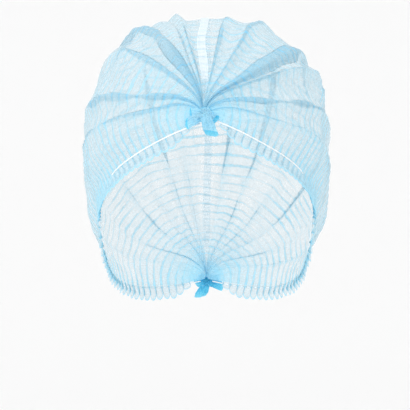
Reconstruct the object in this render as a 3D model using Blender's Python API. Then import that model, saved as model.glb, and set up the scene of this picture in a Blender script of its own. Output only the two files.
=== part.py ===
"""Disposable hairnet in its worn shape.

One web of thin nonwoven cloth, pleated lengthwise, is pinched into a tuft at the front and at
the rear. A thin elastic draws in each long edge and leaves a frill beyond it, and a narrow
tape runs along the middle. Metres, +Z up. The front faces -Y, and the origin is the inside of
the crown's top, where the cap is carried.
"""
import math

import bmesh
import bpy
from mathutils import Vector

for old in list(bpy.data.objects):
    bpy.data.objects.remove(old, do_unlink=True)

GAP = 0.0003                 # clearance between neighbouring pieces

# The rounded form that the two elastics lie on
BAND_WIDTH = 0.163
BAND_LENGTH = 0.206
BAND_DEPTH = 0.290
BAND_ROUNDNESS = 2.3         # 2 is an ellipse, more is boxier

# The fuller form that the crown puffs out to
CROWN_WIDTH = 0.181
CROWN_LENGTH = 0.212
CROWN_DEPTH = 0.224
CROWN_ROUNDNESS = 2.6
CROWN_WALL = 0.0012
CROWN_ROWS = 38              # facets from the front gather to the rear one
FULL_BY = 0.19               # share of the way in from the edge where the crown is full
FULL_PAST_KNOT = 0.5         # sine of the turn from a gather where it is full
WIDEST_COLUMN = 0.085        # widest facet across, as a share of the way from ridge to edge
CLOSEST_COLUMN = 0.027

# Where the web is gathered: ahead of or behind the middle, and below the crown's top
FRONT_KNOT_REACH = 0.103
FRONT_KNOT_DROP = 0.0767
REAR_KNOT_REACH = 0.084
REAR_KNOT_DROP = 0.1887
NECK_RADIUS = 0.005          # the gathered web's hole round each tuft

# Edge line: turn from the front gather to the rear one, and angles from the ridge to each edge
EDGE_LINE = [
    # turn, left angle, right angle (degrees)
    (0.0, 106.5, 104.0),
    (14.0, 106.0, 103.6),
    (22.0, 105.8, 103.8),
    (34.0, 104.8, 102.8),
    (45.0, 103.8, 101.8),
    (60.0, 103.0, 100.8),
    (72.0, 102.0, 100.2),
    (84.0, 101.2, 99.4),
    (92.0, 102.6, 101.8),
    (98.0, 109.5, 109.5),
    (106.0, 113.5, 113.5),
    (120.0, 114.5, 114.5),
    (140.0, 112.0, 112.0),
    (160.0, 107.0, 107.0),
    (180.0, 102.0, 102.0),
]

# Lengthwise folds, which run from one gather to the other
FOLD_HEIGHT = 0.0052
FOLD_PAST_KNOT = 0.55        # sine of the turn from a gather where a fold stands at full height
FOLDS = [
    # place from ridge (0) to an edge (-1 left, 1 right), height, left flank, right flank
    (-0.73, 0.30, 0.07, 0.06),
    (-0.56, 0.50, 0.06, 0.09),
    (-0.385, 0.45, 0.06, 0.07),
    (-0.275, 0.75, 0.06, 0.05),
    (-0.17, 0.35, 0.05, 0.05),
    (-0.085, 0.80, 0.05, 0.03),
    (0.08, 0.35, 0.03, 0.05),
    (0.19, 0.70, 0.06, 0.06),
    (0.315, 0.45, 0.07, 0.05),
    (0.47, 0.95, 0.07, 0.06),
    (0.64, 0.60, 0.08, 0.06),
    (0.80, 0.25, 0.06, 0.07),
]
HOLLOW_DEPTH = 0.0012        # how far a panel sinks between two folds

# Elastic thread along each edge
ELASTIC_THICKNESS = 0.0012

# Frill beyond the elastic
FRILL_WIDTH = 0.0095
FRILL_WALL = 0.001
FRILL_PITCH = 0.0065         # one pleat along the elastic
FRILL_PLEAT = 0.0019         # half height of a pleat at the free edge
FRILL_PLEAT_AT_ELASTIC = 0.35
FRILL_SCALLOP = 0.10         # share of the width by which pleats bow and dip
FRILL_FLARE = 0.12           # lean away from the middle
FRILL_TAPER = 0.016          # run over which it widens from each gather
FRILL_WIDTH_AT_KNOT = 0.4    # share of the width there
FRILL_ROW_COUNT = 2

# Tape along the ridge
TAPE_WIDTH = 0.006
TAPE_THICKNESS = 0.001
TAPE_START = 19.0            # turn from either gather where the folds cover it (degrees)

# Tuft of pinched web at each gather
TUFT_WIDTH = 0.0195
TUFT_LENGTH = 0.0095
TUFT_DROOP = 0.0022
TUFT_PLEATS = 10
TUFT_PLEAT_DEPTH = 0.13      # share of the radius at the rim
TUFT_TIP = 0.24              # how much further its lower corner reaches
TUFT_TIP_SIDE = math.radians(-60)
TUFT_ROOT = 0.0012           # how far the pinched root reaches in past the web
TUFT_CUP = [
    # along from the root (0) to the rim (1), radius from the neck (0) to the rim (1), pleats
    (0.14, 0.00, 0.0),
    (0.36, 0.42, 0.4),
    (0.70, 0.82, 0.8),
    (1.00, 1.00, 1.0),
    (0.98, 0.78, 1.0),
    (0.72, 0.30, 0.6),
    (0.60, 0.00, 0.2),
]

SKY_BLUE = (0.50, 0.79, 0.90)
PALE_BLUE = (0.62, 0.84, 0.92)
DEEP_BLUE = (0.28, 0.70, 0.88)
WHITE = (0.88, 0.92, 0.94)

CENTRE = Vector((0, 0, -(CROWN_DEPTH - CROWN_WALL) / 2 + HOLLOW_DEPTH))
BAND_HALF = Vector((BAND_WIDTH, BAND_LENGTH, BAND_DEPTH)) / 2
CROWN_HALF = Vector((CROWN_WIDTH, CROWN_LENGTH, CROWN_DEPTH)) / 2
FRONT_KNOT = Vector((0, -FRONT_KNOT_REACH, -FRONT_KNOT_DROP))
REAR_KNOT = Vector((0, REAR_KNOT_REACH, -REAR_KNOT_DROP))
MIDDLE = (FRONT_KNOT + REAR_KNOT) / 2
HALF_SPAN = (REAR_KNOT - FRONT_KNOT).length / 2
BACKWARD = (REAR_KNOT - FRONT_KNOT).normalized()
UPWARD = Vector((0, -BACKWARD.z, BACKWARD.y))
SIDEWAYS = Vector((1, 0, 0))
NECK_TURN = math.degrees(math.asin(NECK_RADIUS / HALF_SPAN))


def ease(t):
    """Smooth step from 0 to 1."""
    t = min(max(t, 0.0), 1.0)
    return t * t * (3 - 2 * t)


def read_line(rows, x):
    """Value at x on the smooth curve through the rows (x, y)."""
    last = len(rows) - 1
    i = 0
    while i < last - 1 and x > rows[i + 1][0]:
        i += 1
    x0, y0 = rows[max(i - 1, 0)]
    x1, y1 = rows[i]
    x2, y2 = rows[i + 1]
    x3, y3 = rows[min(i + 2, last)]
    step = x2 - x1
    t = (x - x1) / step
    rise_in = (y2 - y0) / (x2 - x0) * step
    rise_out = (y3 - y1) / (x3 - x1) * step
    return ((2 * t ** 3 - 3 * t ** 2 + 1) * y1 + (t ** 3 - 2 * t ** 2 + t) * rise_in
            + (3 * t ** 2 - 2 * t ** 3) * y2 + (t ** 3 - t ** 2) * rise_out)


def form_reach(way, half, roundness):
    """Distance from the centre to a rounded form along the unit vector way."""
    total = sum(abs(way[i] / half[i]) ** roundness for i in range(3))
    return total ** (-1 / roundness)


def fold_height(place):
    """Height of the folds over the panels at a place across the crown."""
    height = 0.0
    for crest, share, left, right in FOLDS:
        flank = left if place < crest else right
        near = max(0.0, 1 - abs(place - crest) / flank)
        height = max(height, share * near ** 1.4)
    return FOLD_HEIGHT * height - HOLLOW_DEPTH * (1 - height) * ease((1 - abs(place)) / FULL_BY)


def cap_point(turn, place):
    """Middle of the web's thickness: turn from the front gather (degrees), place -1 to 1."""
    tip = math.sin(math.radians(turn))
    edge = [(row[0], row[1] if place < 0 else row[2]) for row in EDGE_LINE]
    side = math.radians(place * read_line(edge, turn))
    out = UPWARD * math.cos(side) + SIDEWAYS * math.sin(side)
    on_ball = MIDDLE + HALF_SPAN * (out * tip - BACKWARD * math.cos(math.radians(turn)))
    way = (on_ball - CENTRE).normalized()
    band = form_reach(way, BAND_HALF, BAND_ROUNDNESS)
    crown = form_reach(way, CROWN_HALF, CROWN_ROUNDNESS)
    full = ease((1 - abs(place)) / FULL_BY) * ease(tip / FULL_PAST_KNOT)
    fold = fold_height(place) * ease(tip / FOLD_PAST_KNOT)
    return CENTRE + way * (band + (crown - band) * full + fold)


def cap_frame(turn, place):
    """Point on the web with its outward normal and the directions along and across it."""
    nudge = 0.01
    step = 0.25
    inside = place - math.copysign(nudge, place)
    point = cap_point(turn, place)
    along = (cap_point(turn + step, place) - cap_point(turn - step, place)).normalized()
    across = point - cap_point(turn, inside)
    normal = along.cross(across).normalized()
    if normal.dot(point - CENTRE) < 0:
        normal.negate()
    across = across - along * across.dot(along)
    across = (across - normal * across.dot(normal)).normalized()
    return point, normal, along, across


def row_turns():
    """Turns of the crown's rows, at even distances along its left edge."""
    steps = 400
    turns = [NECK_TURN + (180 - 2 * NECK_TURN) * i / steps for i in range(steps + 1)]
    points = [cap_point(turn, -1.0) for turn in turns]
    run = [0.0]
    for a, b in zip(points, points[1:]):
        run.append(run[-1] + (b - a).length)
    found = []
    i = 0
    for row in range(CROWN_ROWS + 1):
        want = run[-1] * row / CROWN_ROWS
        while i < steps - 1 and run[i + 1] < want:
            i += 1
        share = (want - run[i]) / (run[i + 1] - run[i])
        found.append(turns[i] + (turns[i + 1] - turns[i]) * share)
    return found


def edge_frames(side, spacing):
    """Frames at even distances along the straight facets of one edge of the crown."""
    knots = [cap_frame(turn, side) for turn in ROW_TURNS]
    run = [0.0]
    for a, b in zip(knots, knots[1:]):
        run.append(run[-1] + (b[0] - a[0]).length)
    count = round(run[-1] / spacing)
    frames = []
    i = 0
    for k in range(count + 1):
        want = run[-1] * k / count
        while i < len(knots) - 2 and run[i + 1] < want:
            i += 1
        share = (want - run[i]) / (run[i + 1] - run[i])
        mixed = [a.lerp(b, share) for a, b in zip(knots[i], knots[i + 1])]
        frames.append([mixed[0]] + [way.normalized() for way in mixed[1:]])
    return frames


def column_places():
    """Places of the crown's columns: crests, flanks and feet of the folds, then even fill."""
    places = [-1.0, 0.0, 1.0]
    wanted = [row[0] for row in FOLDS]
    wanted += [row[0] - row[2] for row in FOLDS] + [row[0] + row[3] for row in FOLDS]
    wanted += [row[0] - row[2] / 2 for row in FOLDS] + [row[0] + row[3] / 2 for row in FOLDS]
    for place in wanted:
        if min(abs(place - other) for other in places) > CLOSEST_COLUMN:
            places.append(place)
    places.sort()
    filled = [places[0]]
    for a, b in zip(places, places[1:]):
        parts = math.ceil((b - a) / WIDEST_COLUMN)
        filled += [a + (b - a) * k / parts for k in range(1, parts + 1)]
    return filled


def finish(name, shape, colour, roughness):
    """Object, material and smooth shading for one finished bmesh."""
    mesh = bpy.data.meshes.new(name)
    shape.to_mesh(mesh)
    shape.free()
    mesh.shade_smooth()
    piece = bpy.data.objects.new(name, mesh)
    bpy.context.scene.collection.objects.link(piece)
    dress(piece, colour, roughness)
    return piece


def dress(piece, colour, roughness):
    """One Principled material for one piece."""
    material = bpy.data.materials.new(piece.name)
    material.use_nodes = True
    shader = material.node_tree.nodes["Principled BSDF"]
    shader.inputs["Base Color"].default_value = (*colour, 1)
    shader.inputs["Roughness"].default_value = roughness
    shader.inputs["Metallic"].default_value = 0.0
    piece.data.materials.append(material)


def cloth_grid(columns, rows, place_vertex):
    """Grid of columns by rows of facets, each corner put where place_vertex(column, row) says."""
    shape = bmesh.new()
    bmesh.ops.create_grid(shape, x_segments=columns, y_segments=rows, size=0.5)
    for corner in shape.verts:
        column = round((corner.co.x + 0.5) * columns)
        row = round((corner.co.y + 0.5) * rows)
        corner.co = place_vertex(column, row)
    return shape


def thicken(piece, wall):
    """Wall of even thickness about the middle surface."""
    modifier = piece.modifiers.new("wall", "SOLIDIFY")
    modifier.thickness = wall
    modifier.offset = 0
    modifier.use_even_offset = True


def make_crown():
    """The pleated web between the two elastics."""
    places = column_places()

    def corner(column, row):
        return cap_point(ROW_TURNS[row], places[column])

    crown = finish("crown", cloth_grid(len(places) - 1, CROWN_ROWS, corner), SKY_BLUE, 0.75)
    thicken(crown, CROWN_WALL)


def make_elastic(name, side):
    """Round thread that lies against the crown's edge."""
    turns = ROW_TURNS[1:-1]
    thread = bpy.data.curves.new(name, "CURVE")
    thread.dimensions = "3D"
    thread.bevel_depth = ELASTIC_THICKNESS / 2
    thread.bevel_resolution = 1
    thread.use_fill_caps = True
    line = thread.splines.new("POLY")
    line.points.add(len(turns) - 1)
    for slot, turn in zip(line.points, turns):
        point, normal, along, across = cap_frame(turn, side)
        slot.co = (*(point + across * (GAP + ELASTIC_THICKNESS / 2)), 1)
    piece = bpy.data.objects.new(name, thread)
    bpy.context.scene.collection.objects.link(piece)
    dress(piece, WHITE, 0.6)


def make_frill(name, side):
    """Pleated free edge beyond the elastic, one crest and one trough to each pleat."""
    frames = edge_frames(side, FRILL_PITCH / 2)[3:-3]
    start = 2 * GAP + ELASTIC_THICKNESS

    def corner(column, row):
        point, normal, along, across = frames[row]
        share = column / FRILL_ROW_COUNT
        crest = 1 if row % 2 else -1
        from_end = min(row, len(frames) - 1 - row) * FRILL_PITCH / 2
        widened = FRILL_WIDTH_AT_KNOT + (1 - FRILL_WIDTH_AT_KNOT) * ease(from_end / FRILL_TAPER)
        reach = FRILL_WIDTH * share * widened * (1 + FRILL_SCALLOP * crest)
        open_up = FRILL_PLEAT_AT_ELASTIC + (1 - FRILL_PLEAT_AT_ELASTIC) * share
        rise = FRILL_PLEAT * crest * open_up + FRILL_FLARE * reach
        return point + across * (start + reach) + normal * rise

    shape = cloth_grid(FRILL_ROW_COUNT, len(frames) - 1, corner)
    thicken(finish(name, shape, PALE_BLUE, 0.75), FRILL_WALL)


def make_tape():
    """Flat tape just above the crown's ridge."""
    turns = [turn for turn in ROW_TURNS if TAPE_START <= turn <= 180 - TAPE_START]
    lift = CROWN_WALL / 2 + GAP + TAPE_THICKNESS / 2

    def corner(column, row):
        point, normal, along, across = cap_frame(turns[row], 0.0)
        return point + normal * lift + SIDEWAYS * (TAPE_WIDTH * (column - 0.5))

    shape = cloth_grid(1, len(turns) - 1, corner)
    thicken(finish("centre_tape", shape, WHITE, 0.55), TAPE_THICKNESS)


def knot_frame(gather):
    """Point of a gather on the banded form, and the form's outward normal there."""
    way = (gather - CENTRE).normalized()
    point = way * form_reach(way, BAND_HALF, BAND_ROUNDNESS)
    slope = [abs(point[i] / BAND_HALF[i]) ** (BAND_ROUNDNESS - 1) / BAND_HALF[i] for i in range(3)]
    normal = Vector([math.copysign(slope[i], point[i]) for i in range(3)])
    return CENTRE + point, normal.normalized()


def make_tuft(name, gather, lean):
    """Pinched root in the web's hole, opening into a small pleated cup."""
    knot, out = knot_frame(gather)
    sag = Vector((0, 0, -1))
    sag = (sag - out * sag.dot(out)).normalized()
    sides = 2 * TUFT_PLEATS
    root = NECK_RADIUS - GAP
    rim = TUFT_WIDTH / 2
    root_rows = [(-TUFT_ROOT / TUFT_LENGTH, root, 0.0), (0.0, root, 0.0)]
    cup_rows = [(share, root + (rim - root) * open_by, pleats)
                for share, open_by, pleats in TUFT_CUP]
    shape = bmesh.new()
    ring = bmesh.ops.create_circle(shape, cap_ends=False, segments=sides, radius=1)["verts"]
    rings = [ring]
    for row in root_rows[1:] + cup_rows:
        edges = list({edge for corner in rings[-1] for edge in corner.link_edges
                      if all(end in rings[-1] for end in edge.verts)})
        grown = bmesh.ops.extrude_edge_only(shape, edges=edges)["geom"]
        rings.append([part for part in grown if isinstance(part, bmesh.types.BMVert)])
    for corners, (share, radius, pleats) in zip(rings, root_rows + cup_rows):
        for corner in corners:
            angle = math.atan2(corner.co.y, corner.co.x)
            crest = 1 if round(angle / (math.pi / TUFT_PLEATS)) % 2 else -1
            opened = (radius - root) / (rim - root)
            lobe = 1 + TUFT_TIP * opened * math.cos(angle - lean)
            far = radius * lobe * (1 + TUFT_PLEAT_DEPTH * pleats * crest)
            ahead = TUFT_LENGTH * share
            corner.co = (knot + out * ahead + sag * (TUFT_DROOP * max(share, 0.0) ** 2)
                         + SIDEWAYS * (far * math.cos(angle)) - sag * (far * math.sin(angle)))
    for corners in (rings[0], rings[-1]):
        edges = list({edge for corner in corners for edge in corner.link_edges
                      if all(end in corners for end in edge.verts)})
        bmesh.ops.triangle_fill(shape, use_beauty=True, edges=edges)
    bmesh.ops.recalc_face_normals(shape, faces=shape.faces)
    if shape.calc_volume(signed=True) < 0:
        bmesh.ops.reverse_faces(shape, faces=shape.faces)
    finish(name, shape, DEEP_BLUE, 0.7)


ROW_TURNS = row_turns()
make_crown()
for end, edge_side in (("left", -1.0), ("right", 1.0)):
    make_elastic("elastic_" + end, edge_side)
    make_frill("frill_" + end, edge_side)
make_tape()
make_tuft("front_tuft", FRONT_KNOT, TUFT_TIP_SIDE)
make_tuft("rear_tuft", REAR_KNOT, TUFT_TIP_SIDE)
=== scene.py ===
import math

import bmesh
import bpy
import numpy as np
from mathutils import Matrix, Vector, noise


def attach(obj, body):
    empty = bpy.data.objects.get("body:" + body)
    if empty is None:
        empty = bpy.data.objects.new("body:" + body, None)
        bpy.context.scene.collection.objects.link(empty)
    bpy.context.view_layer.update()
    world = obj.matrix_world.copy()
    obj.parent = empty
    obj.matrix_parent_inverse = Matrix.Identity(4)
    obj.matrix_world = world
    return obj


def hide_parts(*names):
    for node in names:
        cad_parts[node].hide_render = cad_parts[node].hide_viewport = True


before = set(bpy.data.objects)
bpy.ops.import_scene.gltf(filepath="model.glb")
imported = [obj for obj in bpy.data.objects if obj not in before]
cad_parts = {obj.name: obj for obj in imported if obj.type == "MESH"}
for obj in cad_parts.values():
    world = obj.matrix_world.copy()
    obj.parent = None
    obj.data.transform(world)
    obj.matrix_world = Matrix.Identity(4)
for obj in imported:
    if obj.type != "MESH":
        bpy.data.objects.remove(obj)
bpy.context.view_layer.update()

# Crown: one web of thin see-through spunbond cloth, pleated lengthwise and pinched together at
# the front and at the rear. Wide folds lap over one another between the two gathers, and the
# elastics tuck the long edges, so that fine crosswise creases run up from them.
middle = np.array([0.0, 0.0, -0.1102])
band_half = np.array([0.163, 0.206, 0.290]) / 2      # rounded form that the elastics lie on
band_roundness = 2.3
crown_half = np.array([0.181, 0.212, 0.224]) / 2     # fuller form that the web puffs out to
crown_roundness = 2.6
crown_full_by = 0.19             # share of the way from an edge to the ridge where it is full
crown_full_past_knot = 0.5       # and sine of the turn from a gather where it is
web_half_width = 0.175           # from the ridge to an edge, along the cloth
front_knot = np.array([0.0, -0.103, -0.0767])
rear_knot = np.array([0.0, 0.084, -0.1887])
knot_middle = (front_knot + rear_knot) / 2
half_span = np.linalg.norm(rear_knot - front_knot) / 2
backward = (rear_knot - front_knot) / (2 * half_span)
upward = np.array([0.0, -backward[2], backward[1]])
sideways = np.array([1.0, 0.0, 0.0])
neck_turn = 0.6                  # where the web starts at a gather, in degrees
gather_turn = 12.0               # reach of each gather, over which the folds crowd together
gather_crowding = 0.85
gather_drift = np.array([-0.0023, 0.0, 0.0036])      # the front gather sits a little high and left
drift_turn = 14.0                # over which it draws the cloth along
drift_left_edge = 0.15           # share of the drift that the left edge follows

edge_line = np.array([
    # turn from the front gather, angle from the ridge to the left edge, to the right edge
    (0, 106.5, 104.0),
    (14, 106.0, 103.6),
    (22, 105.8, 103.8),
    (34, 104.8, 102.8),
    (45, 103.8, 101.8),
    (60, 103.0, 100.8),
    (72, 102.0, 100.2),
    (84, 101.2, 99.4),
    (92, 102.6, 101.8),
    (98, 109.5, 109.5),
    (106, 113.5, 113.5),
    (120, 114.5, 114.5),
    (140, 112.0, 112.0),
    (160, 107.0, 107.0),
    (180, 102.0, 102.0),
], float)

fold_height = 0.0052
hollow_depth = 0.0012            # how far the panels between the folds sink
fold_past_knot = 0.55
folds = np.array([
    # place near the front, at the middle, near the back; height, left and right flank;
    # lap at a gather, near the front, at the middle, near the back; side of the top edge
    (-0.760, -0.730, -0.740, 0.30, 0.070, 0.060, 0.044, 0.032, 0.016, 0.006, -1),
    (-0.630, -0.575, -0.580, 0.50, 0.060, 0.090, 0.100, 0.060, 0.022, 0.014, -1),
    (-0.365, -0.400, -0.400, 0.45, 0.060, 0.070, 0.060, 0.036, 0.006, 0.020, -1),
    (-0.225, -0.275, -0.270, 0.75, 0.060, 0.050, 0.110, 0.088, 0.052, 0.012, -1),
    (-0.150, -0.170, -0.170, 0.35, 0.050, 0.050, 0.030, 0.008, 0.006, 0.020, -1),
    (-0.100, -0.085, -0.090, 0.80, 0.050, 0.030, 0.030, 0.012, 0.002, 0.008, -1),
    (0.070, 0.080, 0.080, 0.35, 0.030, 0.050, 0.012, 0.032, 0.004, 0.016, 1),
    (0.190, 0.190, 0.200, 0.70, 0.060, 0.060, 0.030, 0.024, 0.012, 0.020, 1),
    (0.405, 0.330, 0.340, 0.45, 0.070, 0.050, 0.130, 0.096, 0.058, 0.012, 1),
    (0.500, 0.470, 0.470, 0.95, 0.070, 0.060, 0.030, 0.020, 0.012, 0.022, 1),
    (0.685, 0.640, 0.650, 0.60, 0.080, 0.060, 0.090, 0.052, 0.008, 0.012, 1),
    (0.820, 0.800, 0.800, 0.25, 0.060, 0.070, 0.030, 0.010, 0.018, 0.008, 1),
])
fold_places = folds[:, 0:3]
fold_crests = folds[:, 3]
fold_flanks = folds[:, 4:6]
fold_laps = folds[:, 6:10]
fold_sides = folds[:, 10]
fold_turns = (30.0, 88.0, 146.0)                     # where each fold's three places are
lap_turns = (11.0, 30.0, 70.0, 122.0, 164.0)         # where its four laps are, and the rear gather
rear_lap = 0.38                  # laps at the rear gather, as a share of those at the front one
lap_waves = ((0.26, 9.0, 2.1), (0.10, 2.7, 1.3))     # share, turn and step from fold to fold
lap_lip = 0.004                  # cloth past a lap's sharp side, as a share of the half width
lap_foot = 0.03                  # cloth past its soft side
lap_rise = (0.6, 1.7)            # height of its turn by the lip and by the foot, in layers
lap_layer = 0.0006               # height of one layer of cloth over another
lap_past_knot = 0.25
lap_rounding = 14                # marks on each side that round off a lap
panel_cloth = 0.11               # cloth between two folds
fold_room = 0.42                 # share of the panel beside it that an open fold spreads over
column_crowding = 1.2            # how much closer together the columns stand in a fold
crown_columns = 330
crown_rows = 302

pleat_count = 52                 # tucks along each elastic
edge_steps = 1200
tuck_roundness = 0.75
tuck_rest = 0.6                  # share of a tuck's height that lies under the plain form
tuck_relief = 0.0009
tuck_wander = 0.60               # how far the tucks waver above the edge, in tucks
edge_tuck_reach = 0.016          # how far up from an edge its deep tucks run
fan_count = 12                   # fine folds that fan out from a gather on each side
fan_relief = 0.0011
fine_crumple = 0.0009
wide_crumple = 0.0016
sway = 0.011                     # how far the folds waver sideways
crease_count = 30                # lengthwise pleats on each side
side_turn = 72.0                 # where the web bunches most beside the elastic
side_reach = 26.0


def ease(t):
    """Smooth step from 0 to 1."""
    t = np.clip(t, 0.0, 1.0)
    return t * t * (3 - 2 * t)


def curve_through(xs, ys, x):
    """Smooth curve through the points (xs, ys), read at x."""
    last = len(xs) - 1
    i = np.clip(np.searchsorted(xs, x) - 1, 0, last - 1)
    before = np.maximum(i - 1, 0)
    after = np.minimum(i + 2, last)
    step = xs[i + 1] - xs[i]
    t = (x - xs[i]) / step
    rise_in = (ys[i + 1] - ys[before]) / (xs[i + 1] - xs[before]) * step
    rise_out = (ys[after] - ys[i]) / (xs[after] - xs[i]) * step
    return ((2 * t ** 3 - 3 * t ** 2 + 1) * ys[i] + (t ** 3 - 2 * t ** 2 + t) * rise_in
            + (3 * t ** 2 - 2 * t ** 3) * ys[i + 1] + (t ** 3 - t ** 2) * rise_out)


def form_reach(way, half, roundness):
    """Distance from the middle to a rounded form along unit directions."""
    return (np.abs(way / half) ** roundness).sum(-1) ** (-1 / roundness)


def cap_points(turn, place, lift):
    """Points of the opened cap: turn in degrees, place -1 to 1, lift outwards in metres."""
    tip = np.sin(np.radians(turn))
    left = curve_through(edge_line[:, 0], edge_line[:, 1], turn)
    right = curve_through(edge_line[:, 0], edge_line[:, 2], turn)
    side = np.radians(place * np.where(place < 0, left, right))
    out = np.cos(side)[..., None] * upward + np.sin(side)[..., None] * sideways
    ball = knot_middle + half_span * (out * tip[..., None]
                                      - np.cos(np.radians(turn))[..., None] * backward)
    way = ball - middle
    way /= np.linalg.norm(way, axis=-1, keepdims=True)
    band = form_reach(way, band_half, band_roundness)
    crown = form_reach(way, crown_half, crown_roundness)
    full = ease((1 - np.abs(place)) / crown_full_by) * ease(tip / crown_full_past_knot)
    drawn = np.exp(-(turn / drift_turn) ** 2) * np.interp(place, (-1.0, -0.6), (drift_left_edge, 1.0))
    reach = band + (crown - band) * full + lift
    return middle + way * reach[..., None] + drawn[..., None] * gather_drift


def crest_at(turns, k):
    """Place of fold k at each turn."""
    return np.interp(turns, fold_turns, fold_places[k])


def fold_ridges(turn, place):
    """Height of the folds above the panels between them."""
    share = np.zeros_like(place)
    for k, (left, right) in enumerate(fold_flanks):
        off = place - crest_at(turn, k)
        near = np.clip(1 - np.abs(off) / np.where(off < 0, left, right), 0, 1)
        share = np.maximum(share, fold_crests[k] * (near ** 1.4 + ease(near)) / 2)
    sunk = hollow_depth * (1 - share) * ease((1 - np.abs(place)) / crown_full_by)
    return fold_height * share - sunk


def lapped_cloth(turns, count):
    """Place and layer of count + 1 points across the cloth at each turn, laps included.

    Each fold holds four points, which lap back over one another where it is closed and spread
    apart where it opens out.
    """
    most = fold_laps.max(axis=1)
    room = np.diff(np.concatenate([[-1.04], fold_places[:, 1], [1.04]]))
    room = fold_room * np.minimum(room[:-1], room[1:])
    steps = np.stack([most + lap_lip, most, most + lap_foot], -1)
    spread = np.cumsum(np.concatenate([np.zeros((len(folds), 1)), steps], 1), 1)
    wide = np.minimum(spread[:, -1] / 2, room)
    opened = (spread / spread[:, -1:] * 2 - 1) * wide[:, None]
    lengths = np.concatenate([np.full((len(folds), 1), panel_cloth), steps + lap_lip], 1)
    run = np.concatenate([[0.0], np.cumsum(np.append(lengths.ravel(), panel_cloth))])

    # columns across the cloth, closer together where a fold laps
    fine = np.linspace(0, run[-1], 5001)
    in_fold = np.concatenate([[0], np.tile([1, 2, 2, 1], len(folds)), [0]])
    close = 1 + column_crowding * np.interp(fine, run, in_fold)
    spent = np.concatenate([[0], np.cumsum(close[1:] * np.diff(fine))])
    at = np.interp(np.linspace(0, spent[-1], count + 1), spent, fine)
    bell = np.exp(-np.linspace(-2, 2, 2 * lap_rounding + 1) ** 2)
    bell /= bell.sum()

    places, layers = [], []
    for angle in turns:
        marks, heights = [-1.0], [0.0]
        for k, laps in enumerate(fold_laps):
            crest = crest_at(angle, k)
            lap = np.interp(angle, lap_turns, np.append(laps, rear_lap * laps[0]))
            wavy = 1 + sum(size * math.sin(angle / turn + step * k) for size, turn, step in lap_waves)
            lap = min(lap * wavy, most[k])
            shut = float(ease(lap / most[k] * 1.5))
            near, far = crest - lap / 2, crest + lap / 2
            if fold_sides[k] > 0:
                folded = np.array([near - lap_lip, far, near, far + lap_foot])
                layer = [0.0, lap_rise[0], lap_rise[1], 0.0]
            else:
                folded = np.array([near - lap_foot, far, near, far + lap_lip])
                layer = [0.0, lap_rise[1], lap_rise[0], 0.0]
            marks += list(folded * shut + (crest + opened[k]) * (1 - shut))
            heights += [value * shut for value in layer]
        marks.append(1.0)
        heights.append(0.0)
        place = np.pad(np.interp(fine, run, marks), lap_rounding, mode="reflect", reflect_type="odd")
        layer = np.pad(np.interp(fine, run, heights), lap_rounding, mode="edge")
        places.append(np.interp(at, fine, np.convolve(place, bell, mode="valid")))
        layers.append(np.interp(at, fine, np.convolve(layer, bell, mode="valid")))
    return np.array(places), np.array(layers), at / run[-1] * 2 - 1


def edge_phase(side):
    """Turns along one edge, with the count of tucks and the length run up to each."""
    turns = np.linspace(neck_turn, 180 - neck_turn, edge_steps + 1)
    points = cap_points(turns, np.full_like(turns, side), np.zeros_like(turns))
    run = np.concatenate([[0], np.cumsum(np.linalg.norm(np.diff(points, axis=0), axis=1))])
    return turns, run / run[-1] * pleat_count, run


def ripple(points, size, seed):
    """Smooth noise from -1 to 1 at each point, with bumps of about the given size."""
    flat = points.reshape(-1, 3) / size + seed
    found = np.array([noise.noise(Vector(point)) for point in flat])
    return found.reshape(points.shape[:-1])


def sheet_mesh(name, spots, cloth, layers, tucks, pleats):
    """Cloth from a grid whose corners go to spots (rows, columns, 3), with a UV map in metres.

    layers is how much cloth lies there; tucks and pleats are a count of creases and their depth.
    """
    rows, columns = spots.shape[0] - 1, spots.shape[1] - 1
    shape = bmesh.new()
    bmesh.ops.create_grid(shape, x_segments=columns, y_segments=rows, size=0.5)
    mesh = bpy.data.meshes.new(name)
    shape.to_mesh(mesh)
    shape.free()
    flat = np.empty(len(mesh.vertices) * 3)
    mesh.vertices.foreach_get("co", flat)
    flat = flat.reshape(-1, 3)
    column = np.rint((flat[:, 0] + 0.5) * columns).astype(int)
    row = np.rint((flat[:, 1] + 0.5) * rows).astype(int)
    mesh.vertices.foreach_set("co", spots[row, column].ravel())
    corner = np.empty(len(mesh.loops), int)
    mesh.loops.foreach_get("vertex_index", corner)
    chart = mesh.uv_layers.new(name="cloth")
    chart.data.foreach_set("uv", cloth[row, column][corner].ravel())
    for title, values in (("layers", layers), ("tuck", tucks[0]), ("tuck_depth", tucks[1]),
                          ("pleat", pleats[0]), ("pleat_depth", pleats[1])):
        kept = mesh.attributes.new(title, "FLOAT", "POINT")
        kept.data.foreach_set("value", values[row, column].astype(np.float32))
    mesh.shade_smooth()
    mesh.update()
    piece = bpy.data.objects.new(name, mesh)
    bpy.context.scene.collection.objects.link(piece)
    return piece


def node(tree, kind, **inputs):
    """One shader node, with its settings and its inputs by name; a socket is linked."""
    made = tree.nodes.new(kind)
    for key, value in inputs.items():
        if key in made.inputs:
            if isinstance(value, bpy.types.NodeSocket):
                tree.links.new(value, made.inputs[key])
            else:
                made.inputs[key].default_value = value
        else:
            setattr(made, key, value)
    return made


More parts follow.
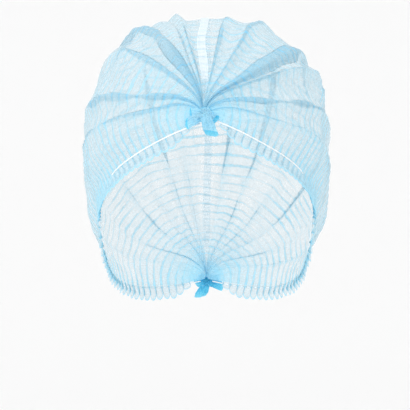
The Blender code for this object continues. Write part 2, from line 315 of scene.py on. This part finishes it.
def nonwoven(name, pale, deep, cover, softness):
    """Spunbond cloth: random fibres and creases, see-through where it is one layer thick.

    pale and deep are its colours in one layer and in many, cover is what one layer hides, and
    softness is its roughness.
    """
    material = bpy.data.materials.new(name)
    material.use_nodes = True
    tree = material.node_tree
    tree.nodes.clear()
    chart = node(tree, "ShaderNodeUVMap", uv_map="cloth").outputs["UV"]
    spot = node(tree, "ShaderNodeTexCoord").outputs["Object"]
    kept = {title: node(tree, "ShaderNodeAttribute", attribute_name=title).outputs["Fac"]
            for title in ("layers", "tuck", "tuck_depth", "pleat", "pleat_depth")}

    def maths(operation, *values):
        made = node(tree, "ShaderNodeMath", operation=operation)
        for slot, value in zip(made.inputs, values):
            if isinstance(value, bpy.types.NodeSocket):
                tree.links.new(value, slot)
            else:
                slot.default_value = value
        return made.outputs[0]

    def plus(one, other):
        return maths("ADD", one, other)

    def minus(one, other):
        return maths("SUBTRACT", one, other)

    def times(one, other):
        return maths("MULTIPLY", one, other)

    def between(value, least, most):
        return maths("MINIMUM", maths("MAXIMUM", value, least), most)

    def speckle(where, scale, detail, roughness, distortion=0.0):
        return node(tree, "ShaderNodeTexNoise", Vector=where, Scale=scale, Detail=detail,
                    Roughness=roughness, Distortion=distortion).outputs["Fac"]

    # fibres: long thin streaks lying in five directions
    strands = None
    for angle in (8, 47, 83, 118, 155):
        turned = node(tree, "ShaderNodeMapping", Vector=chart, Rotation=(0, 0, math.radians(angle)),
                      Scale=(160, 3000, 1), Location=(angle * 0.37, angle * 0.11, 0)).outputs[0]
        streak = speckle(turned, 1.0, 2.0, 0.6, 0.3)
        strands = streak if strands is None else maths("MAXIMUM", strands, streak)
    fibres = times(minus(strands, 0.60), 4.0)

    # clouds: uneven laying of the fibres, at a few millimetres and at about one
    clouds = speckle(spot, 260.0, 3.0, 0.7)
    grain = speckle(spot, 1100.0, 2.0, 0.8)
    uneven = plus(times(clouds, 0.55), times(grain, 0.65))
    uneven = plus(minus(uneven, 0.60), times(fibres, 0.22))

    # creases: a thin line at each tuck and each lengthwise pleat that wavers a little, and stray ones
    waver = speckle(spot, 130.0, 3.0, 0.65)
    creases = None
    for title, least, more in (("tuck", 0.045, 0.050), ("pleat", 0.050, 0.030)):
        shifted = plus(kept[title], times(minus(waver, 0.5), 0.34))
        depth = kept[title + "_depth"]
        width = plus(times(depth, more), least)
        near = maths("DIVIDE", minus(width, maths("PINGPONG", shifted, 0.5)), 0.035)
        crease = times(between(near, 0.0, 1.0), depth)
        creases = crease if creases is None else plus(creases, crease)
    wander = speckle(spot, 62.0, 2.5, 0.55, 0.6)
    away = maths("ABSOLUTE", minus(wander, 0.5))
    stray = maths("MAXIMUM", minus(1.0, maths("DIVIDE", away, 0.014)), 0.0)
    creases = plus(creases, times(stray, 0.45))
    layers = plus(kept["layers"], creases)

    # each layer hides its share of what is behind, and many of them look bluer than one
    one_layer = between(plus(uneven, cover), 0.05, 0.97)
    solid = minus(1.0, maths("POWER", minus(1.0, one_layer), layers))
    tint = node(tree, "ShaderNodeMix", data_type="RGBA")
    tree.links.new(between(times(minus(layers, 1.0), 0.30), 0.0, 1.0), tint.inputs[0])
    tint.inputs[6].default_value = (*pale, 1)
    tint.inputs[7].default_value = (*deep, 1)
    colour = tint.outputs[2]

    # relief: crinkles, fibres and creases
    crinkle = speckle(spot, 330.0, 3.0, 0.6)
    relief = plus(times(crinkle, 1.2), times(strands, 0.30))
    relief = plus(relief, times(creases, 0.25))
    bump = node(tree, "ShaderNodeBump", Strength=0.8, Distance=0.0006, Height=relief).outputs[0]

    cloth = node(tree, "ShaderNodeBsdfPrincipled", Roughness=softness, Normal=bump)
    tree.links.new(colour, cloth.inputs["Base Color"])
    cloth.inputs["Specular IOR Level"].default_value = 0.25
    cloth.inputs["Sheen Weight"].default_value = 0.15
    glow = node(tree, "ShaderNodeBsdfTranslucent", Color=colour, Normal=bump)
    body = node(tree, "ShaderNodeMixShader", Fac=0.46)
    tree.links.new(cloth.outputs[0], body.inputs[1])
    tree.links.new(glow.outputs[0], body.inputs[2])
    veil = node(tree, "ShaderNodeMixShader", Fac=solid)
    tree.links.new(node(tree, "ShaderNodeBsdfTransparent").outputs[0], veil.inputs[1])
    tree.links.new(body.outputs[0], veil.inputs[2])
    node(tree, "ShaderNodeOutputMaterial", Surface=veil.outputs[0])
    return material


def crowded(turn, place):
    """Place across the web once the folds have crowded together at the gathers."""
    from_knot = np.minimum(turn, 180 - turn)
    held = 1 - gather_crowding * np.exp(-(from_knot / gather_turn) ** 1.5)
    return place * held + np.sign(place) * np.abs(place) ** 5 * (1 - held)


def crosswise_tucks(turn, place, points):
    """Count of tucks run up to each point, how strong they are there, and the way to the edge."""
    left = np.interp(turn, left_turns, left_tucks)
    right = np.interp(turn, right_turns, right_tucks)
    from_edge = (1 - np.abs(place)) * web_half_width
    phase = (left * (1 - place) + right * (1 + place)) / 2
    phase = phase + tuck_wander * ripple(points, 0.030, 11.3) * ease(from_edge / 0.05)
    patch = np.clip(0.85 + 0.9 * ripple(points, 0.022, 4.7), 0.2, 1.6)
    return phase, patch, from_edge


def web_lift(turn, place, across, points):
    """Height of the web over its plain form: ridges, tucks, gathers and crumples."""
    tip = np.sin(np.radians(turn))
    from_knot = np.minimum(turn, 180 - turn)
    uneven = 1 + 0.45 * ripple(points, 0.045, 21.7)
    ridge = fold_ridges(turn, across) * ease(tip / fold_past_knot) * uneven
    phase, patch, from_edge = crosswise_tucks(turn, place, points)
    puff = np.abs(np.sin(math.pi * phase)) ** tuck_roundness - tuck_rest
    by_edge = np.exp(-from_edge / edge_tuck_reach)
    depth = tuck_relief * (1 + np.exp(-((from_edge - 0.009) / 0.010) ** 2))
    tuck = (depth * by_edge + tuck_relief * patch * (1 - by_edge)) * ease(from_knot / 20) * puff
    fan_phase = across * fan_count + 0.5 * ripple(points, 0.05, 8.1)
    fan = (np.abs(np.sin(math.pi * fan_phase)) ** 0.8 - 0.55) * (1 - ease((from_knot - 4) / 30))
    fan = fan_relief * fan * ease(from_knot / 8)
    crumple = fine_crumple * ripple(points, 0.011, 2.2) + wide_crumple * ripple(points, 0.027, 6.4)
    return ridge + tuck + fan + crumple * ease(from_edge / 0.012) * ease(tip / 0.2)


left_turns, left_tucks = edge_phase(-1.0)[:2]
right_turns, right_tucks = edge_phase(1.0)[:2]
row_turns = np.linspace(neck_turn, 180 - neck_turn, crown_rows + 1)
across, order, cloth_across = lapped_cloth(row_turns, crown_columns)
turn = np.broadcast_to(row_turns[:, None], across.shape)
tip = np.sin(np.radians(turn))
from_knot = np.minimum(turn, 180 - turn)
plain = cap_points(turn, across, np.zeros_like(turn))
swayed = sway * ripple(plain, 0.034, 15.2) * (1 - across ** 2) * ease(tip / 0.3)
place = crowded(turn, np.clip(across + swayed, -1, 1))
plain = cap_points(turn, place, np.zeros_like(turn))
lift = web_lift(turn, place, across, plain) + lap_layer * order * ease(tip / lap_past_knot)
crown_points = cap_points(turn, place, lift)

# cloth is doubled in the sharp bottom of a tuck, laps at the folds and crowds at the gathers
phase, patch, from_edge = crosswise_tucks(turn, place, plain)
by_edge = np.exp(-from_edge / 0.018)
tuck_depth = (3.0 * by_edge + 1.7 * patch * (1 - by_edge)) * ease(from_knot / 14)
crease_phase = cloth_across[None, :] * crease_count + 0.5 * ripple(plain, 0.04, 5.2)
kept_on = np.where(np.rint(crease_phase) % 3 == 0, 0.5 * patch, 0.0)       # every third pleat
crease_depth = kept_on + (0.5 - kept_on) * (1 - ease((from_knot - 4) / 20))
crowd = np.clip(0.55 / np.maximum(tip, 0.02), 1.0, 6.0) ** 0.85
crowd = crowd * (1 + 2.2 * np.exp(-((turn - side_turn) / side_reach) ** 2) * np.exp(-from_edge / 0.013))
crowd = crowd * (1 - 0.50 * np.exp(-(across / 0.055) ** 2) * ease((from_knot - 4) / 4))
crowd = crowd * (1 + 0.28 * ripple(plain, 0.016, 31.0)) + 0.70 * order * ease(tip / lap_past_knot)
crown_cloth = np.stack([turn / 180 * 0.45, np.broadcast_to((cloth_across + 1) * 0.21, turn.shape)], -1)

crown = sheet_mesh("crown_web", crown_points, crown_cloth, crowd, (phase, tuck_depth),
                   (crease_phase, crease_depth))
pale_blue = (0.62, 0.76, 0.82)
layered_blue = (0.43, 0.80, 0.96)
web_cloth = nonwoven("pleated_nonwoven", pale_blue, layered_blue, 0.46, 0.62)
crown.data.materials.append(web_cloth)
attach(crown, "root")
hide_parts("crown")

# Frills: the web's own edge beyond each elastic, left free. The elastic gathers it into round
# tucks that lap a little over one another, so its lower edge is scalloped all the way round.
frill_width = 0.0095
frill_taper = 0.016              # over which it widens from each end
frill_width_at_knot = 0.4
frill_ends = 2.0                 # tucks that it stops short of each gather
frill_columns = 14
frill_steps = 16                 # facets along each tuck
frill_flare = 0.12               # how far it leans outwards
frill_tuck_relief = 0.0009
frill_tuck_growth = 0.0012       # by which its tucks stand higher at the rim
sharp_notch = 0.20               # notches between the lobes, as shares of the width
round_notch = 0.22
lobe_lap = 0.0007                # height of one lobe over the next
lobe_overlap = 0.09              # how far a lobe's ends run past its neighbours', in tucks
lobe_spread = 0.13               # how far its cloth spreads from its middle, in tucks
rim_layers = 3.4
rim_share = 0.11


def edge_frames(turns, side):
    """Points on an edge, with the outward, lengthwise and crosswise directions there."""
    places = np.full_like(turns, side)
    flat = np.zeros_like(turns)
    point = cap_points(turns, places, flat)
    along = cap_points(turns + 0.25, places, flat) - cap_points(turns - 0.25, places, flat)
    along /= np.linalg.norm(along, axis=-1, keepdims=True)
    cross = point - cap_points(turns, places * 0.99, flat)
    outward = np.cross(along, cross)
    outward *= np.sign((outward * (point - middle)).sum(-1, keepdims=True))
    outward /= np.linalg.norm(outward, axis=-1, keepdims=True)
    cross = cross - along * (along * cross).sum(-1, keepdims=True)
    cross /= np.linalg.norm(cross, axis=-1, keepdims=True)
    return point, outward, along, cross


def make_frill(side, name, replaced):
    """One frill, from tuck to tuck along its edge and from the elastic out to its rim."""
    turns, tucks, run = edge_phase(side)
    pitch = run[-1] / pleat_count
    count = int((pleat_count - 2 * frill_ends) * frill_steps)
    phase = np.linspace(frill_ends, pleat_count - frill_ends, count + 1)
    at = np.interp(phase, tucks, turns)
    length = np.interp(phase, tucks, run)
    point, outward, along, cross = edge_frames(at, side)
    rng = np.random.default_rng(7 if side < 0 else 19)
    uneven = np.interp(phase, np.arange(pleat_count + 1), rng.uniform(-1, 1, pleat_count + 1))
    share = np.linspace(0, 1, frill_columns + 1)
    wave = np.abs(np.sin(math.pi * phase))
    from_end = np.minimum(length - length[0], length[-1] - length)
    widened = frill_width_at_knot + (1 - frill_width_at_knot) * ease(from_end / frill_taper)
    notch = sharp_notch * (1 - wave) + round_notch * np.cos(math.pi * phase) ** 2
    scallop = 1.14 - notch + 0.06 * uneven
    reach = frill_width * (widened * scallop)[:, None] * share
    size = frill_tuck_relief + frill_tuck_growth * (1 + 0.35 * uneven[:, None]) * ease(share / 0.8)
    rise = size * ((wave ** tuck_roundness)[:, None] - tuck_rest) + frill_flare * reach
    rise = rise + 0.0006 * uneven[:, None] * share ** 2
    lean = (2 * (phase % 1.0) - 1)[:, None]
    rise = rise + lobe_lap * lean * share
    spread = lobe_spread * np.sin(2 * math.pi * phase)[:, None]
    slide = pitch * (lobe_overlap * lean - spread) * share
    spots = (point[:, None] + cross[:, None] * reach[..., None] + outward[:, None] * rise[..., None]
             + along[:, None] * slide[..., None])
    spots = spots + outward[:, None] * 0.0003 * ripple(spots, 0.006, side * 3.1)[..., None]
    bunched = np.exp(-((at - side_turn) / side_reach) ** 2)[:, None]
    rim = np.exp(-((1 - share) / rim_share) ** 2)
    none = np.zeros_like(reach)
    layers = 1.3 + 2.0 * bunched + rim_layers * rim + none
    cloth = np.stack(np.broadcast_arrays(length[:, None], reach), -1) + (0.7, 0.5 + side * 0.2)
    counted = np.broadcast_to(phase[:, None], reach.shape)
    piece = sheet_mesh(name, spots, cloth, layers, (counted, 2.7 - 0.7 * share + none), (none, none))
    if side < 0:
        piece.data.flip_normals()
    piece.data.materials.append(frill_cloth)
    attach(piece, "root")
    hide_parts(replaced)


frill_cloth = nonwoven("frill_nonwoven", pale_blue, layered_blue, 0.46, 0.62)
make_frill(-1.0, "frill_web_left", "frill_left")
make_frill(1.0, "frill_web_right", "frill_right")

# Elastics: a thin white thread of rubber wound with yarn, held along each edge of the web. It
# lies on the outside of the tucks that it makes, and under them at the sides, where they bunch.
thread_radius = 0.0005
thread_sides = 8
thread_steps = 6                 # rings for each tuck
thread_seat = 0.0009             # across the web, from the crown's edge
thread_rise = 0.0006             # over the plain edge, and more on top of a tuck
thread_rise_on_tuck = 0.00025
thread_sunk = 0.0019             # how far it runs in under the bunched tucks at the sides
sunk_turns = (46, 112)
sunk_fade = 12


def make_elastic(side, first, name, replaced):
    """One elastic, from tuck number first to the rear gather."""
    turns, tucks = edge_phase(side)[:2]
    phase = np.linspace(first, pleat_count - 0.6, pleat_count * thread_steps)
    at = np.interp(phase, tucks, turns)
    point, outward, _, cross = edge_frames(at, side)
    sunk = ease((at - sunk_turns[0]) / sunk_fade) * ease((sunk_turns[1] - at) / sunk_fade)
    rise = thread_rise + thread_rise_on_tuck * np.abs(np.sin(math.pi * phase)) - thread_sunk * sunk
    path = point + cross * thread_seat + outward * rise[:, None]
    shape = bmesh.new()
    bmesh.ops.create_grid(shape, x_segments=thread_sides, y_segments=len(path) - 1, size=0.5)
    for corner in shape.verts:
        k = round((corner.co.y + 0.5) * (len(path) - 1))
        angle = (corner.co.x + 0.5) * 2 * math.pi
        corner.co = Vector(path[k] + thread_radius * (math.cos(angle) * cross[k]
                                                      + math.sin(angle) * outward[k]))
    bmesh.ops.remove_doubles(shape, verts=shape.verts, dist=1e-6)
    bmesh.ops.holes_fill(shape, edges=shape.edges, sides=thread_sides)
    bmesh.ops.recalc_face_normals(shape, faces=shape.faces)
    mesh = bpy.data.meshes.new(name)
    shape.to_mesh(mesh)
    shape.free()
    mesh.shade_smooth()
    piece = bpy.data.objects.new(name, mesh)
    bpy.context.scene.collection.objects.link(piece)
    piece.data.materials.append(thread_yarn)
    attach(piece, "root")
    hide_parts(replaced)


thread_yarn = bpy.data.materials.new("wound_white_yarn")
thread_yarn.use_nodes = True
yarn = thread_yarn.node_tree
yarn_shader = yarn.nodes["Principled BSDF"]
yarn_place = node(yarn, "ShaderNodeTexCoord").outputs["Object"]
yarn_twist = node(yarn, "ShaderNodeTexWave", Vector=yarn_place, Scale=900.0, Distortion=3.0,
                  wave_type="BANDS", bands_direction="DIAGONAL").outputs["Fac"]
yarn_tone = node(yarn, "ShaderNodeValToRGB", Fac=yarn_twist)
yarn_tone.color_ramp.elements[0].color = (0.90, 0.94, 0.96, 1)
yarn_tone.color_ramp.elements[1].color = (0.97, 0.98, 0.99, 1)
yarn.links.new(yarn_tone.outputs[0], yarn_shader.inputs["Base Color"])
yarn_shader.inputs["Roughness"].default_value = 0.7
yarn_bump = node(yarn, "ShaderNodeBump", Strength=0.5, Distance=0.0002, Height=yarn_twist)
yarn.links.new(yarn_bump.outputs[0], yarn_shader.inputs["Normal"])
make_elastic(-1.0, 0.6, "elastic_thread_left", "elastic_left")
make_elastic(1.0, 0.3, "elastic_thread_right", "elastic_right")

# Centre tape: a narrow strip of denser white nonwoven, laid on the web along its middle and
# gathered in with it. Its ends run in under the folds at both gathers.
tape_width = 0.006
tape_width_at_end = 0.40
tape_rows = 420
tape_columns = 10
tape_over_web = 0.0006
tape_tucked = 0.0016             # how far its ends dip under the folds
tape_curl = 0.0003               # how far its long edges stand up
tape_drifts = ((-0.0036, 30, 11), (-0.0012, 56, 20), (0.0016, 118, 22))    # sway, its turn, its reach
tape_turns = np.linspace(7, 168, tape_rows + 1)
tape_end = np.minimum(tape_turns, 180 - tape_turns)
narrowed = tape_width_at_end + (1 - tape_width_at_end) * ease((tape_end - 8) / 14)
tape_across = np.linspace(-0.5, 0.5, tape_columns + 1)
tape_turn, tape_side = np.meshgrid(tape_turns, tape_across, indexing="ij")
drift = sum(size * np.exp(-((tape_turns - at) / reach) ** 2) for size, at, reach in tape_drifts)
ridge = np.zeros_like(tape_turns)
beside = cap_points(tape_turns, ridge + 0.01, ridge) - cap_points(tape_turns, ridge, ridge)
unit = np.linalg.norm(beside, axis=-1) / 0.01
tape_place = (drift[:, None] + tape_width * narrowed[:, None] * tape_side) / unit[:, None]
tape_plain = cap_points(tape_turn, tape_place, np.zeros_like(tape_turn))
over = tape_over_web - tape_tucked * (1 - ease((tape_end - 13) / 3.0))
tape_lift = web_lift(tape_turn, tape_place, tape_place, tape_plain) + over[:, None]
tape_lift = tape_lift + tape_curl * (2 * np.abs(tape_side)) ** 3
tape_points = cap_points(tape_turn, tape_place, tape_lift)
tape_chart = np.stack([tape_turn / 180 * 0.45, tape_side * tape_width + 0.9], -1)
# A line at each rung, in the tape's deeper colour: partly the doubled cloth of the crease, and partly
# painted shade in it.
rungs = 2 * np.interp(tape_turn, left_turns, left_tucks)
flat_tape = np.zeros_like(rungs)
tape = sheet_mesh("centre_strip", tape_points, tape_chart, flat_tape + 1, (rungs, flat_tape + 1.1),
                  (flat_tape, flat_tape))
# The tape's second colour, a darker blue, shows mostly in the rung lines, where it is painted shade in
# their creases.
tape_cloth = nonwoven("white_tape_nonwoven", (0.93, 0.96, 0.98), (0.55, 0.78, 0.90), 0.92, 0.55)
tape.data.materials.append(tape_cloth)
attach(tape, "root")
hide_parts("centre_tape")

# Tufts: the two pinched ends of the web, welded together in a neck. Beyond the weld the cloth
# splays into a few flattened tubes, the longest of them a tail that hangs from the front gather.
tuft_tongues = [
    # direction seen from the front (degrees from right, anticlockwise), length, half width at
    # the neck and at the end, height at the neck, on the way and at the end, half thickness at
    # the end, how far the front wall is cut back, slant of the end
    (-69.0, 0.0156, 0.0034, 0.0044, 0.0070, 0.0092, 0.0050, 0.0020, 0.26, 0.15),
    (-156.0, 0.0146, 0.0020, 0.0038, 0.0048, 0.0058, 0.0034, 0.0014, 0.12, 0.10),
    (170.0, 0.0104, 0.0020, 0.0040, 0.0052, 0.0064, 0.0046, 0.0014, 0.12, -0.12),
    (-20.0, 0.0098, 0.0020, 0.0036, 0.0048, 0.0056, 0.0030, 0.0014, 0.30, 0.10),
    (40.0, 0.0066, 0.0020, 0.0030, 0.0050, 0.0052, 0.0036, 0.0010, 0.10, 0.0),
    (108.0, 0.0060, 0.0020, 0.0028, 0.0050, 0.0050, 0.0036, 0.0010, 0.10, 0.0),
]
tongue_rows = 36
tongue_columns = 96
tongue_root = 0.0010             # how far a tube starts behind the weld
neck_thickness = 0.0016          # half thickness of a tube at the weld
tuft_pleat = 0.0012
tuft_drift = gather_drift * (0.65, 1.0, 0.95)        # the front tuft moves with its gather


def make_tuft(gather, drift, name, replaced, seed):
    """One tuft of tubes at a gather, turned so that it is the same seen from front or rear."""
    way = (gather - middle) / np.linalg.norm(gather - middle)
    knot = middle + way * form_reach(way, band_half, band_roundness)
    slope = np.abs((knot - middle) / band_half) ** (band_roundness - 1) / band_half
    out = slope * np.sign(knot - middle)
    out /= np.linalg.norm(out)
    down = np.array([0.0, 0.0, -1.0])
    down = down - out * (down @ out)
    down /= np.linalg.norm(down)
    hand = 1.0 if out[1] < 0 else -1.0
    knot = knot + drift
    share, angle = np.meshgrid(np.linspace(0, 1, tongue_rows + 1),
                               np.linspace(0, 2 * math.pi, tongue_columns + 1), indexing="ij")
    side = np.sign(np.cos(angle)) * np.abs(np.cos(angle)) ** 0.85
    front = np.maximum(np.sin(angle), 0)
    none = np.zeros_like(share)
    pieces = []
    for k, row in enumerate(tuft_tongues):
        direction, length, narrow, wide, low, high, end, thick, cut, slant = row
        direction = math.radians(direction)
        along = sideways * hand * math.cos(direction) - down * math.sin(direction)
        cross = -sideways * hand * math.sin(direction) - down * math.cos(direction)
        reach = length * (1 - 0.10 * np.abs(side) ** 3 + slant * side - cut * front ** 0.7)
        far = (reach + tongue_root) * share - tongue_root
        half = narrow + (wide - narrow) * ease(share / 0.75)
        deep = neck_thickness + (thick - neck_thickness) * ease(share)
        rise = np.interp(share, (0, 0.4, 1.0), (low, high, end)) + deep * np.sin(angle)
        pleat = np.abs(np.sin(1.5 * math.pi * side + 0.9 * k + seed + 0.6 * share)) ** 0.8 - 0.6
        rise = rise + tuft_pleat * pleat * (1.1 - 0.55 * share) * ease(share / 0.12)
        spots = (knot + along * far[..., None] + cross * (half * side)[..., None]
                 + out * rise[..., None])
        crumple = 0.0010 * ripple(spots, 0.0032, 3.3 + k + seed)
        crumple = crumple + 0.0003 * ripple(spots, 0.0013, 1.1)
        spots = spots + out * crumple[..., None]
        spots = spots + cross * (0.0008 * ripple(spots, 0.0040, 7.7 + k + seed))[..., None]
        cloth = np.stack([angle / (2 * math.pi) * 4 * wide, share * length], -1)
        # Fewer layers at each tube's open end make its rim paler: a painted highlight on the rim.
        layers = 1.7 + 0.4 * (1 - share) ** 1.2 - 0.4 * np.exp(-((1 - share) / 0.05) ** 2)
        layers = layers + 2.2 * ease(-np.sin(angle) * 3)         # the rear wall gets more layers, which paint it a deeper, darker blue: painted shade inside the tube
        pieces.append(sheet_mesh(name + "_tongue", spots, cloth + (k * 0.1, seed), layers,
                                 (none, none), (side * 2.2, 0.25 * (1 - 0.5 * share))))
    with bpy.context.temp_override(active_object=pieces[0], selected_editable_objects=pieces):
        bpy.ops.object.join()
    piece = pieces[0]
    piece.name = name
    piece.data.materials.append(tuft_cloth_painted_light_and_shade)
    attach(piece, "root")
    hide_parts(replaced)


# The tufts' cloth is the crown's cloth with painted light and shade. Its one-layer colour is paler and
# brighter than the crown's, as painted front light on the knots. Its deep colour is a darker blue, as
# painted shade on the tubes' rear walls.
tuft_cloth_painted_light_and_shade = nonwoven("pinched_nonwoven_painted_light_and_shade", (0.72, 0.93, 0.98), (0.12, 0.66, 0.90), 0.60, 0.55)
make_tuft(front_knot, tuft_drift, "front_ruffle", "front_tuft", 0.0)
make_tuft(rear_knot, np.zeros(3), "rear_ruffle", "rear_tuft", 1.3)

# Floor and backdrop: a plain white studio floor that sweeps up into a round wall far behind.
floor_level = -0.46
floor_radius = 1.9
sweep_radius = 1.3
wall_height = 0.6
sweep_length = sweep_radius * math.pi / 2
paper_shape = bmesh.new()
bmesh.ops.create_grid(paper_shape, x_segments=96, y_segments=60, size=1.0)
for corner in paper_shape.verts:
    angle = corner.co.x * math.pi
    run = (corner.co.y + 1) / 2 * (floor_radius + sweep_length + wall_height) + 0.002
    bend = min(max((run - floor_radius) / sweep_radius, 0), math.pi / 2)
    past = max(run - floor_radius - sweep_length, 0)
    reach = min(run, floor_radius) + sweep_radius * math.sin(bend)
    corner.co = (reach * math.sin(angle), reach * math.cos(angle),
                 floor_level + sweep_radius * (1 - math.cos(bend)) + past)
bmesh.ops.remove_doubles(paper_shape, verts=paper_shape.verts, dist=1e-5)
paper_mesh = bpy.data.meshes.new("studio_floor")
paper_shape.to_mesh(paper_mesh)
paper_shape.free()
paper_mesh.shade_smooth()
paper = bpy.data.objects.new("studio_floor", paper_mesh)
bpy.context.scene.collection.objects.link(paper)
paper_white = bpy.data.materials.new("white_paper")
paper_white.use_nodes = True
paper_shader = paper_white.node_tree.nodes["Principled BSDF"]
paper_shader.inputs["Base Color"].default_value = (0.94, 0.94, 0.94, 1)
paper_shader.inputs["Roughness"].default_value = 0.95
paper_shader.inputs["Specular IOR Level"].default_value = 0.1
paper_mesh.materials.append(paper_white)

# Light: pale surroundings, with large soft boxes to the left, in front and above.
world = bpy.data.worlds.new("white_room")
world.use_nodes = True
world.node_tree.nodes["Background"].inputs["Color"].default_value = (1, 1, 1, 1)
world.node_tree.nodes["Background"].inputs["Strength"].default_value = 0.95
bpy.context.scene.world = world
lit_spot = Vector((0, 0, -0.1))
for name, spot, size, power in (
    ("key_box", (-1.1, -1.4, 1.2), 0.7, 14.0),
    ("front_box", (0.2, -2.3, 0.5), 0.9, 5.0),
    ("top_box", (0.5, 0.6, 1.6), 0.7, 3.0),
):
    lamp_data = bpy.data.lights.new(name, "AREA")
    lamp_data.size = size
    lamp_data.energy = power
    lamp = bpy.data.objects.new(name, lamp_data)
    lamp.location = spot
    lamp.rotation_euler = (lit_spot - Vector(spot)).to_track_quat("-Z", "Y").to_euler()
    bpy.context.scene.collection.objects.link(lamp)

# Camera: straight in front and level, a little below the cap's middle.
image_width = 410                # pixels
view_distance = 1.608            # to the middle of the cap
scale_plane = 0.093              # plane in front of it where the scale is known
pixel_there = 0.703e-3
pixel = pixel_there / (view_distance - scale_plane)  # metres for each pixel, one metre away
aim_across = -1.5                # pixels
aim_up = 4.0
camera_height = -0.1387
camera_data = bpy.data.cameras.new("camera")
camera_data.sensor_width = 36.0
camera_data.lens = camera_data.sensor_width / (image_width * pixel)
camera = bpy.data.objects.new("camera", camera_data)
camera.location = (aim_across * pixel * view_distance, -view_distance,
                   camera_height + aim_up * pixel * view_distance)
camera.rotation_euler = (math.radians(90), 0, 0)
bpy.context.scene.collection.objects.link(camera)
bpy.context.scene.camera = camera
bpy.context.scene.cycles.transparent_max_bounces = 40
bpy.context.scene.view_settings.view_transform = "Standard"
